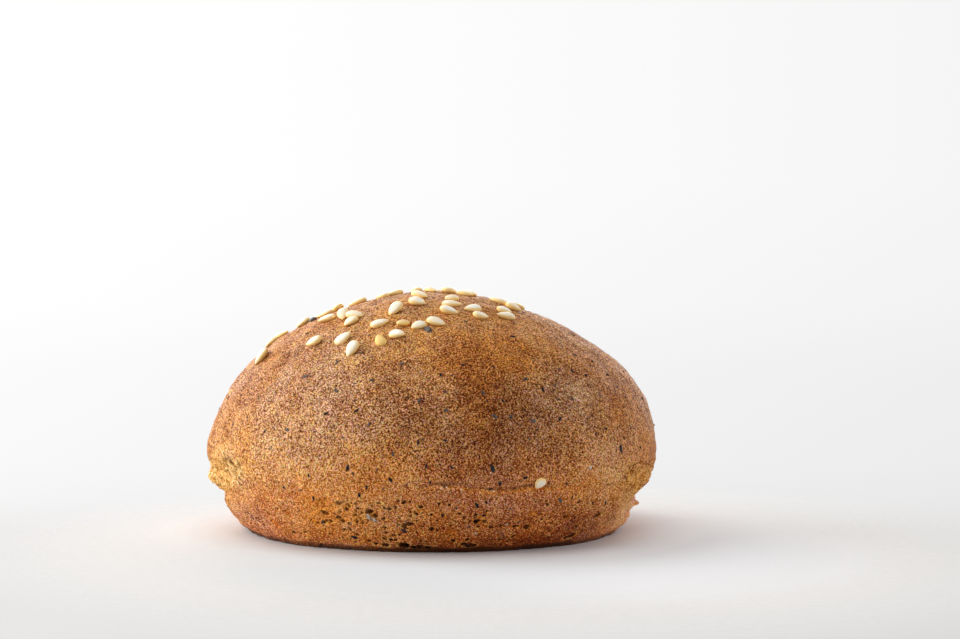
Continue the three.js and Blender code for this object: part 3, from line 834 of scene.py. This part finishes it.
# --- Sesame seeds -----------------------------------------------------------------------------
# Hulled sesame, sprinkled on the wet dough and baked in, flat side down. Each seed is a small
# teardrop, cream in the middle and golden at the rim; some toasted golden all over, two charred.
SEED_LENGTH, SEED_WIDTH, SEED_THICKNESS = 3.35, 2.15, 1.15
SEED_TAPER = 0.32
TIP_TAPER, TIP_START = 0.22, 0.45
SEED_SPREAD = 0.1
SEED_SINK = 0.25         # how deep its lowest point is baked into the skin

# Seeds of the front: turn from the front in degrees, distance down the crust from the crown, where
# the tip points, in degrees from straight down, positive to the right, and how far it leans out
FRONT_SEEDS = [
    (-73, 33.5, -5, -10), (-89, 30.5, 40, 0), (-91, 28, 145, -5), (-94, 24, 55, -10),
    (-94, 19.5, -25, 0), (-65, 21, -20, 5), (-104, 18, -30, -15), (-94, 13.5, 5, -5),
    (-90, 9, -50, 0), (-96, 6.5, 50, 0), (-50, 28, -65, -10), (-38, 26, 160, 10),
    (-30, 29, -5, -15), (-57, 19, 50, -20), (-48, 18.5, 105, -10), (-45, 20.5, 5, 0),
    (-27, 20.5, 135, 0), (-25, 15.5, -15, -20), (-21, 26, -145, 10), (-15, 24, 70, 10),
    (-15, 20.5, -20, 20), (-7, 21, -35, 5), (2, 19.5, 60, -5), (-13, 11.5, 70, -5),
    (-17, 7.5, 65, -5), (-150, 0.5, -180, -5), (105, 3, 35, -5), (21, 9, -65, 0),
    (16, 12, 70, 5), (11, 15, 70, -10), (84, 6, -30, 0), (29, 14.5, -85, 0),
    (29, 17.5, 90, -10), (74, 12, -180, 0), (52, 16, 65, -5), (46, 18, -120, 0),
    (69, 15.5, 15, -5),
]
# The most toasted of them, as shares of wholly toasted; the others get at most the usual
TOAST_SHRINK = 0.15
USUAL_TOAST = 0.25
TOASTED = {FRONT_SEEDS[18]: 1.0, FRONT_SEEDS[20]: 0.8, FRONT_SEEDS[25]: 0.5, FRONT_SEEDS[27]: 0.4}

# Two small charred seeds between them, and a stunted one that rolled down into the crease; their
# sizes are shares of the full length, width and thickness
FULL_SIZE = (1, 1, 1)
DARK_SEEDS = [(-91, 22, -60, -5), (-2, 22, 25, 5)]
DARK_SIZE = (0.65, 0.65, 0.65)
STRAY_SEEDS = [(26.5, 55, -15, -12)]
STRAY_SIZE = (0.64, 0.84, 0.72)

# Seeds of the crown's back half: strewn at random over a round patch, clear of every other seed
STREWN_COUNT = 34
PATCH_CENTRE = (-4, 3)
PATCH_RADIUS = 23
PATCH_FRONT = 2
SEED_CLEARANCE = 2.4
STREWN_TILT = 9
RANDOM_FACTOR, RANDOM_STEP, RANDOM_RANGE = 1664525, 1013904223, 2 ** 32
random_state = 20417


def random_share():
    global random_state
    random_state = (random_state * RANDOM_FACTOR + RANDOM_STEP) % RANDOM_RANGE
    return random_state / RANDOM_RANGE


def spread(share):
    return 1 + share * (2 * random_share() - 1)


def strewn_seeds():
    """Seeds of the crown's back half, thrown like darts; one too near another is thrown again."""
    seeds = []
    taken = [(down * math.sin(math.radians(at)), -down * math.cos(math.radians(at)))
             for at, down, _, _ in FRONT_SEEDS]
    while len(seeds) < STREWN_COUNT:
        swing = 2 * math.pi * random_share()
        reach = PATCH_RADIUS * math.sqrt(random_share())
        x = PATCH_CENTRE[0] + reach * math.cos(swing)
        y = PATCH_CENTRE[1] + reach * math.sin(swing)
        lie = 360 * random_share()
        free = all(math.hypot(other_x - x, other_y - y) > SEED_CLEARANCE
                   for other_x, other_y in taken)
        if free and y > PATCH_FRONT:
            taken.append((x, y))
            tilt = STREWN_TILT * (2 * random_share() - 1)
            seeds.append((math.degrees(math.atan2(x, -y)), math.hypot(x, y), lie, tilt))
    return seeds


# The way down the crust is walked in small steps of level, from the crown to the foot
LEVEL_STEP, LEVEL_STEPS = 0.004, 500


def spot_on_crust(turn, down):
    """Place so far down the crust from the crown, and the ways across, downhill and out there."""
    levels = 1 - LEVEL_STEP * np.arange(LEVEL_STEPS)
    path = skin(np.full(len(levels), turn), levels)
    walked = np.concatenate([[0], np.cumsum(np.linalg.norm(np.diff(path, axis=0), axis=1))])
    level = levels[np.argmax(walked >= down)]
    aside, below, above = LEVEL_STEP, level - LEVEL_STEP, level + LEVEL_STEP
    ends = skin(np.array([turn + aside, turn - aside, turn, turn, turn]),
                np.array([level, level, below, above, level]))
    across = Vector(ends[0] - ends[1]).normalized()
    downhill = Vector(ends[2] - ends[3]).normalized()
    return Vector(ends[4]), across, downhill, downhill.cross(across).normalized()


def lay(form, size, lie, tilt, spot, rise):
    """Points of a form of unit size, stretched, tilted and turned where it lies on the crust."""
    middle, across, downhill, out = spot
    tip = (downhill * math.cos(lie) + across * math.sin(lie)).normalized()
    basis = Matrix((tip.cross(out), tip, out)).transposed().to_4x4()
    place = Matrix.Translation(middle + out * rise) @ basis @ Matrix.Rotation(tilt, 4, "X")
    return np.array([place @ Vector(point) for point in form * np.array(size)])


def copy_of(model, points, **shares):
    """A copy with its own mesh."""
    made = model.copy()
    made.data = model.data.copy()
    bpy.context.collection.objects.link(made)
    shape(made.data, points, shares)
    return made


def join_up(name, parts, finish):
    """Joins the copies into one piece of that finish."""
    bpy.ops.object.select_all(action="DESELECT")
    for part in parts:
        part.select_set(True)
    bpy.context.view_layer.objects.active = parts[0]
    bpy.ops.object.join()
    joined = bpy.context.object
    joined.name = joined.data.name = name
    joined.data.materials.clear()
    bake_in(joined, finish)


bpy.ops.object.select_all(action="DESELECT")
bpy.ops.mesh.primitive_uv_sphere_add(segments=20, ring_count=14, radius=1,
                                     rotation=(-QUARTER_TURN, 0, 0))
bpy.ops.object.transform_apply(rotation=True)
bpy.ops.object.shade_smooth()
seed_model = bpy.context.object
ball = np.array([vertex.co for vertex in seed_model.data.vertices])
slim = (1 - SEED_TAPER * ball[:, 1]) * (1 - TIP_TAPER * ease(TIP_START, 1, ball[:, 1]))
seed_form = np.stack([ball[:, 0] * slim / 2, ball[:, 1] / 2, ball[:, 2] * slim / 2], axis=1)

# The rim is golden; where it starts, out from the long axis, towards the ends and underneath
RIM_ACROSS, RIM_AT_ENDS, RIM_BELOW = (0.6, 0.92), (0.7, 0.95), (0.4, -0.1)
LEAST_GIRTH = 0.05       # stands in for none at the tips
TIP_GOLD_START = 0.1
girth = np.sqrt(np.maximum(1 - ball[:, 1] ** 2, 0))
from_axis = np.abs(ball[:, 0]) / np.maximum(girth, LEAST_GIRTH)
seed_rim = np.maximum(ease(*RIM_ACROSS, from_axis), ease(*RIM_AT_ENDS, np.abs(ball[:, 1])))
seed_rim = np.maximum(seed_rim, ease(*RIM_BELOW, ball[:, 2]))
seed_tip = ease(TIP_GOLD_START, 1, ball[:, 1])

toasts = np.random.default_rng(5)
kinds = {"sesame_seeds": [], "charred_seeds": []}
for kind, seeds, scale in (("sesame_seeds", FRONT_SEEDS, FULL_SIZE),
                           ("charred_seeds", DARK_SEEDS, DARK_SIZE),
                           ("sesame_seeds", STRAY_SEEDS, STRAY_SIZE),
                           ("sesame_seeds", strewn_seeds(), FULL_SIZE)):
    for seed in seeds:
        at, down, lie, tilt = seed
        shrunk = 1 - TOAST_SHRINK * TOASTED.get(seed, 0)
        sides = zip(scale, (SEED_LENGTH, SEED_WIDTH, SEED_THICKNESS))
        length, width, thickness = (shrunk * share * side * spread(SEED_SPREAD)
                                    for share, side in sides)
        lie, tilt = math.radians(lie), math.radians(tilt)
        reach_down = math.hypot(length * math.sin(tilt), thickness * math.cos(tilt)) / 2
        points = lay(seed_form, (width, length, thickness), lie, tilt,
                     spot_on_crust(math.radians(at), down), reach_down - SEED_SINK)
        toast = TOASTED.get(seed, USUAL_TOAST * toasts.random())
        kinds[kind].append(copy_of(seed_model, points, toast=toast, rim=seed_rim, tip=seed_tip))
bpy.data.objects.remove(seed_model)

CREAM = [(0.3, (0.93, 0.83, 0.62)), (0.6, (0.99, 0.95, 0.84))]
TOAST_DARK, TOAST_PALE = (0.84, 0.50, 0.12), (0.95, 0.68, 0.26)
RIM_COLOUR, RIM_STRENGTH = (0.97, 0.62, 0.13), 0.8
TIP_COLOUR, TIP_STRENGTH = (0.94, 0.64, 0.20), 0.4
SEED_ROUGHNESS = (0.65, 0.5)
SEED_BUMP = 0.05
CHARCOAL = [(0.35, (0.015, 0.010, 0.008)), (0.62, (0.16, 0.12, 0.09))]
CHAR_ROUGHNESS = (0.6, 0.4)


def mottled_material(name, **mottling):
    """A material, its nodes, its shader and a mottle for it."""
    material, tree, shader = new_material(name)
    place = add_node(tree, "TexCoord").outputs["Object"]
    return material, tree, shader, mottle_of(tree, place, **mottling)


sesame, tree, shader, mottle = mottled_material("sesame", scale=900, detail=3, roughness=0.6)
toasted = blend(tree, mottle, TOAST_DARK, TOAST_PALE)
colour = blend(tree, share_of(tree, "toast"), ramp(tree, mottle, CREAM), toasted)
for share, gold, strength in (("rim", RIM_COLOUR, RIM_STRENGTH),
                              ("tip", TIP_COLOUR, TIP_STRENGTH)):
    colour = blend(tree, reckon(tree, "MULTIPLY", share_of(tree, share), strength), colour, gold)
bump = add_node(tree, "Bump", Strength=0.5, Distance=SEED_BUMP * MM, Height=mottle)
set_inputs(tree, shader, Base_Color=colour, Normal=bump.outputs["Normal"],
           Roughness=stretch(tree, mottle, *WIDE_NOISE, *SEED_ROUGHNESS))
join_up("sesame_seeds", kinds["sesame_seeds"], sesame)

charred, tree, shader, mottle = mottled_material("charred seed", scale=1500, detail=3)
set_inputs(tree, shader, Base_Color=ramp(tree, mottle, CHARCOAL),
           Roughness=stretch(tree, mottle, *WIDE_NOISE, *CHAR_ROUGHNESS))
join_up("charred_seeds", kinds["charred_seeds"], charred)


# --- Bran and husk ----------------------------------------------------------------------------
# Flakes of dark bran pressed into the crust while it was dough, and a few scales of pale husk and
# crumbs that stuck to it. Each is a thin uneven scale that lies flat in the skin.

# Flakes of the front: turn in degrees, distance down the crust, length, lie from straight down
BLACK_BRAN = [
    (-31, 53.9, 0.7, 10), (-16, 55.7, 0.7, -20), (-10, 54.1, 1.0, 30), (-30.5, 57.9, 0.9, 0),
    (-18, 57, 0.9, 0), (-0.5, 54.4, 0.7, 0), (2.5, 60.7, 0.9, 70), (-7.5, 63.8, 1.1, 50),
    (-22, 65.8, 1.2, 60), (-1.5, 51.7, 0.7, 0), (4.5, 52, 0.8, 30), (14.5, 52.4, 1.4, 15),
    (22.5, 54, 0.9, 90), (16.5, 55, 1.0, 0), (14.5, 55.9, 0.9, -60), (34.5, 55.6, 0.7, 0),
    (37, 58.2, 0.6, 0), (11, 58.8, 1.1, 25), (13, 61, 0.7, 80), (40.5, 62.4, 0.6, 0),
    (44.5, 47.7, 0.7, 0), (56, 48.9, 0.7, 0), (53.5, 50.7, 1.4, 0), (64, 51.1, 0.7, 0),
    (60, 54.5, 0.9, -20), (57, 55.8, 0.8, 80), (50.5, 60.1, 0.8, 40), (-62, 25.6, 0.9, -40),
    (-25.5, 29.5, 0.7, -30), (2.5, 34.7, 0.8, 0), (62, 33.8, 0.6, 0), (47.5, 35.2, 0.9, 0),
    (52, 36.4, 1.0, -70), (65.5, 37, 1.0, 90), (32.5, 38.5, 1.0, 0), (81, 43.5, 0.9, 0),
    (34.5, 44.2, 0.9, -50), (49, 46.9, 0.8, 70), (35, 24.9, 1.1, 80), (9.5, 32.8, 0.8, 90),
    (19, 40.8, 0.8, 20), (-20, 42.4, 0.8, -40), (-3.5, 47.8, 0.8, 0), (-20.5, 52.3, 1.1, -10),
    (-28.5, 43.2, 1.0, -50), (-47, 47.1, 0.6, 0), (-75, 42.6, 0.7, 0), (3, 47.4, 0.7, 80),
]
GREY_BRAN = [
    (-41, 36.1, 1.2, -60), (-33, 32, 1.0, 0), (-28, 38.6, 1.1, 60), (-18, 36.2, 0.9, 80),
    (-10, 31.9, 1.0, -60), (33.5, 58.6, 1.2, 40), (28.5, 36.2, 1.1, -60), (14, 38.9, 0.9, 40),
    (16, 43.4, 1.2, 50), (20.5, 43.5, 1.0, -40), (26.5, 44.2, 1.2, 60), (3.5, 42.3, 1.0, 70),
    (-16, 44.9, 0.9, -20), (-3.5, 40.2, 1.0, -10), (-39, 46.5, 1.2, 80), (-9.5, 49.7, 0.8, 0),
    (41, 40.8, 0.8, 0), (55, 31.8, 0.8, 60), (37, 37.9, 0.6, 0),
]
HUSK = [
    (-16.5, 61.3, 1.4, 25), (-15.1, 62.0, 1.25, 35), (-22.4, 63.3, 1.2, 45), (62, 55.2, 0.6, -20),
    (57, 56.4, 0.5, 80), (41.5, 53, 1.0, -45), (11.5, 64.5, 0.7, 60), (19.5, 62.6, 0.6, 80),
    (86, 64.9, 1.0, 60),
]
CRUMBS = [
    (2, 55.6, 0.45, 90), (3.4, 55.5, 0.4, 60), (7, 55.9, 0.45, 90), (11.5, 56.4, 0.4, 0),
    (15, 56.4, 0.5, 90), (-18, 57.6, 0.35, 0), (-36, 50, 0.4, 0), (14, 53, 0.35, 0),
    (-89, 60.4, 1.1, 20), (-86, 61.2, 0.9, -40), (-92, 61.6, 1.0, 60), (-82, 60.6, 0.8, 10),
    (-84, 59.2, 0.8, 30), (-90, 62.6, 0.9, -20), (-87, 58.4, 0.7, 70),
    (87, 63.6, 1.0, -30), (83, 64.2, 0.8, 40), (90, 64.4, 0.9, 70),
]
FLAKE_WIDTH, FLAKE_THICKNESS = 0.5, 0.22     # width is a share of the length
CRUMB_THICKNESS = 0.6    # also a share of the length
FLAKE_RISE = 0.03
FLAKE_ROUGHNESS = 0.25   # how far its points lie in or out, at most
GREY_PALENESS = 0.7
# Smaller flakes at random over the whole roll
STREWN_BRAN = 160
STREWN_REACH = 66        # distance down the crust to the edge of the foot
STREWN_LENGTHS = (0.3, 0.6)
RAY_START = 3            # over the smooth form, clear of all that stands out of it

bpy.context.view_layer.update()
depsgraph = bpy.context.evaluated_depsgraph_get()
skins = [BVHTree.FromObject(piece, depsgraph) for piece in (crust_dome, crust_base, *torn_crumbs)]


def touch_down(spot):
    """Moves a place on the smooth form to the grained skin right under or over it."""
    middle, across, downhill, out = spot
    hits = [layer.ray_cast((middle + RAY_START * out) * MM, -out)[0] for layer in skins]
    heights = [(hit / MM - middle).dot(out) for hit in hits if hit]
    return middle + out * max(heights, default=0), across, downhill, out


bpy.ops.object.select_all(action="DESELECT")
bpy.ops.mesh.primitive_ico_sphere_add(subdivisions=2, radius=0.5)
bpy.ops.object.shade_smooth()
flake_model = bpy.context.object
flake_form = np.array([vertex.co for vertex in flake_model.data.vertices])

bran_draws = np.random.default_rng(11)
strewn_bran = [(bran_draws.uniform(-180, 180), STREWN_REACH * math.sqrt(bran_draws.random()),
                bran_draws.uniform(*STREWN_LENGTHS), bran_draws.uniform(-90, 90))
               for _ in range(STREWN_BRAN)]
flakes = {"bran_flakes": [], "husk_flakes": []}
for kind, places, paleness in (("bran_flakes", BLACK_BRAN, 0),
                               ("bran_flakes", GREY_BRAN, GREY_PALENESS),
                               ("bran_flakes", strewn_bran, None),
                               ("husk_flakes", HUSK, 0), ("husk_flakes", CRUMBS, 1)):
    for at, down, length, lie in places:
        uneven = 1 + FLAKE_ROUGHNESS * bran_draws.uniform(-1, 1, (len(flake_form), 1))
        thickness = CRUMB_THICKNESS * length if places is CRUMBS else FLAKE_THICKNESS
        size = (FLAKE_WIDTH * length, length, thickness)
        points = lay(flake_form * uneven, size, math.radians(lie), 0,
                     touch_down(spot_on_crust(math.radians(at), down)), FLAKE_RISE)
        shade = bran_draws.random() if paleness is None else paleness
        flakes[kind].append(copy_of(flake_model, points, shade=shade))
bpy.data.objects.remove(flake_model)

BLACK = [(0.4, (0.007, 0.006, 0.006)), (0.62, (0.045, 0.038, 0.042))]
GREY = [(0.35, (0.060, 0.045, 0.046)), (0.62, (0.24, 0.18, 0.16))]
bran, tree, shader, mottle = mottled_material("bran", scale=2500, detail=2)
colour = blend(tree, share_of(tree, "shade"), ramp(tree, mottle, BLACK), ramp(tree, mottle, GREY))
set_inputs(tree, shader, Base_Color=colour, Roughness=0.7, Specular_IOR_Level=0.12)
join_up("bran_flakes", flakes["bran_flakes"], bran)

HUSK_GREY = [(0.40, (0.16, 0.12, 0.10)), (0.55, (0.55, 0.44, 0.33)), (0.65, (0.85, 0.74, 0.56))]
CRUMB_GOLD = [(0.4, (0.85, 0.42, 0.12)), (0.6, (1.0, 0.80, 0.55))]
husk, tree, shader, mottle = mottled_material("husk", scale=2500, detail=2)
colour = blend(tree, share_of(tree, "shade"), ramp(tree, mottle, HUSK_GREY),
               ramp(tree, mottle, CRUMB_GOLD))
set_inputs(tree, shader, Base_Color=colour, Roughness=0.5)
join_up("husk_flakes", flakes["husk_flakes"], husk)


# --- Table, light and camera ------------------------------------------------------------------
# A pale matt table that fades into a white backdrop, a large soft light from the left, and white
# all round except in front, where the room is darker.
TABLE_RADIUS = 0.9
BOARD = [(0.3, (0.665, 0.65, 0.63)), (0.7, (0.71, 0.69, 0.67))]
# Near the roll the board is painted: darker and cooler at its left, painted shade against the
# glow of the light there, and paler at its right, painted light in the roll's shadow; further
# out it is the plain board
PAINTED_SHADE_LEFT, PAINTED_LIGHT_RIGHT, BESIDE_REACH = (0.615, 0.64, 0.65), (0.74, 0.735, 0.745), 0.03
MIDDLE = (0.015, -0.03, 0)
NEAR_ROLL = (0.036, 0.066)
FADES_OUT = (0.055, 0.10)

bpy.ops.object.select_all(action="DESELECT")
bpy.ops.mesh.primitive_circle_add(vertices=96, radius=TABLE_RADIUS, fill_type="NGON")
table = bpy.context.object
table.name = table.data.name = "table"
pale_board, tree, shader, mottle = mottled_material("pale board", scale=700, detail=2)
place = add_node(tree, "TexCoord").outputs["Object"]
centred = add_node(tree, "Mapping", Vector=place, Location=[-part for part in MIDDLE])
reach = add_node(tree, "VectorMath", {"operation": "LENGTH"},
                 Vector=centred.outputs["Vector"]).outputs["Value"]
across_table = add_node(tree, "SeparateXYZ", Vector=place).outputs["X"]
painted_near_roll = blend(tree, stretch(tree, across_table, -BESIDE_REACH, BESIDE_REACH), PAINTED_SHADE_LEFT,
               PAINTED_LIGHT_RIGHT)
# Painted shade left of the roll and painted light right of it, near the roll only
colour = blend(tree, stretch(tree, reach, *NEAR_ROLL, 1, 0), ramp(tree, mottle, BOARD), painted_near_roll)
set_inputs(tree, shader, Base_Color=colour, Roughness=0.9, Specular_IOR_Level=0.1)
clear = add_node(tree, "BsdfTransparent").outputs["BSDF"]
fade = add_node(tree, "MixShader", Fac=stretch(tree, reach, *FADES_OUT))
tree.links.new(shader.outputs["BSDF"], fade.inputs[1])
tree.links.new(clear, fade.inputs[2])
set_inputs(tree, tree.nodes["Material Output"], Surface=fade.outputs["Shader"])
table.data.materials.append(pale_board)

# White of the backdrop at shares of its height, a little warmer in its lowest part
BACKDROP = [(0.067, 0.775), (0.185, 0.78), (0.22, 0.81), (0.235, 0.84), (0.26, 0.87),
            (0.31, 0.90), (0.44, 0.92), (0.53, 0.955), (0.70, 0.98)]
BACKDROP_HEIGHTS = (-0.19, 0.08)
WARM_WHITE, WARM_END = (1, 0.985, 0.98), 0.25
# Painted light on the backdrop: lighter at its left, where the large light is, greyer at its right
SIDEWAYS, SIDEWAYS_WHITE = (-0.16, 0.2), (1.05, 0.93)
ROOM = (0.05, 0.05, 0.05)


def backdrop_stop(share, white):
    warmth = WARM_WHITE if share < WARM_END else WHITE
    return share, [white * part for part in warmth]


world = bpy.data.worlds.new("white surroundings")
bpy.context.scene.world = world
world.use_nodes = True
tree = world.node_tree
way = add_node(tree, "TexCoord").outputs["Generated"]
axes = add_node(tree, "SeparateXYZ", Vector=way)
seen = ramp(tree, stretch(tree, axes.outputs["Z"], *BACKDROP_HEIGHTS),
            [backdrop_stop(*stop) for stop in BACKDROP])
# The painted light of the backdrop, lighter at the left
aside = stretch(tree, axes.outputs["X"], *SIDEWAYS, *SIDEWAYS_WHITE)
aside = add_node(tree, "CombineColor", Red=aside, Green=aside, Blue=aside).outputs["Color"]
seen = blend(tree, 1.0, seen, aside, "MULTIPLY")
camera_ray = add_node(tree, "LightPath").outputs["Is Camera Ray"]
set_inputs(tree, tree.nodes["Background"], Color=blend(tree, camera_ray, ROOM, seen))

LIGHT_DISTANCE = 1.1
AIM = Vector((0, 0, 0.02))
# Name, azimuth and elevation in degrees, width and height in metres, and watts
LIGHTS = [
    ("wall_left", -95, 14, 1.5, 0.5, 20), ("window_left", -122, 46, 0.7, 0.6, 5),
    ("wall_back", 180, 14, 1.8, 0.5, 14), ("wall_right", 95, 14, 1.5, 0.5, 7),
    ("lamp_front", 0, 20, 1.0, 0.5, 2.6), ("lamp_top", 0, 89, 0.8, 0.8, 4.5),
]


def soft_light(name, azimuth, elevation, width, tall, watts):
    """Soft light aimed at the roll; azimuth 0 is in front, 90 at the right."""
    azimuth, elevation = math.radians(azimuth), math.radians(elevation)
    away = Vector((math.cos(elevation) * math.sin(azimuth),
                   -math.cos(elevation) * math.cos(azimuth), math.sin(elevation)))
    bpy.ops.object.light_add(type="AREA", location=away * LIGHT_DISTANCE + AIM,
                             rotation=away.to_track_quat("Z", "Y").to_euler())
    lamp = bpy.context.object
    lamp.name = name
    lamp.visible_camera = False
    lamp.data.shape = "RECTANGLE"
    lamp.data.size = width
    lamp.data.size_y = tall
    lamp.data.energy = watts


for light in LIGHTS:
    soft_light(*light)

ELEVATION = math.radians(7.5)
DISTANCE = 0.48
LENS = 100.0
SENSOR = 36.0
IMAGE_WIDTH, IMAGE_HEIGHT = 960, 639
BASE_ACROSS, BASE_DOWN = 432.5, 527.0     # where the middle of the foot comes in the image
bpy.ops.object.camera_add(
    location=(0, -DISTANCE * math.cos(ELEVATION), DISTANCE * math.sin(ELEVATION)),
    rotation=(QUARTER_TURN - ELEVATION, 0, 0))
camera = bpy.context.object
camera.name = "camera"
camera.data.lens = LENS
camera.data.sensor_width = SENSOR
camera.data.shift_x = (IMAGE_WIDTH / 2 - BASE_ACROSS) / IMAGE_WIDTH
camera.data.shift_y = (BASE_DOWN - IMAGE_HEIGHT / 2) / IMAGE_WIDTH
camera.data.clip_start = 0.01
bpy.context.scene.camera = camera
bpy.context.scene.view_settings.view_transform = "Standard"
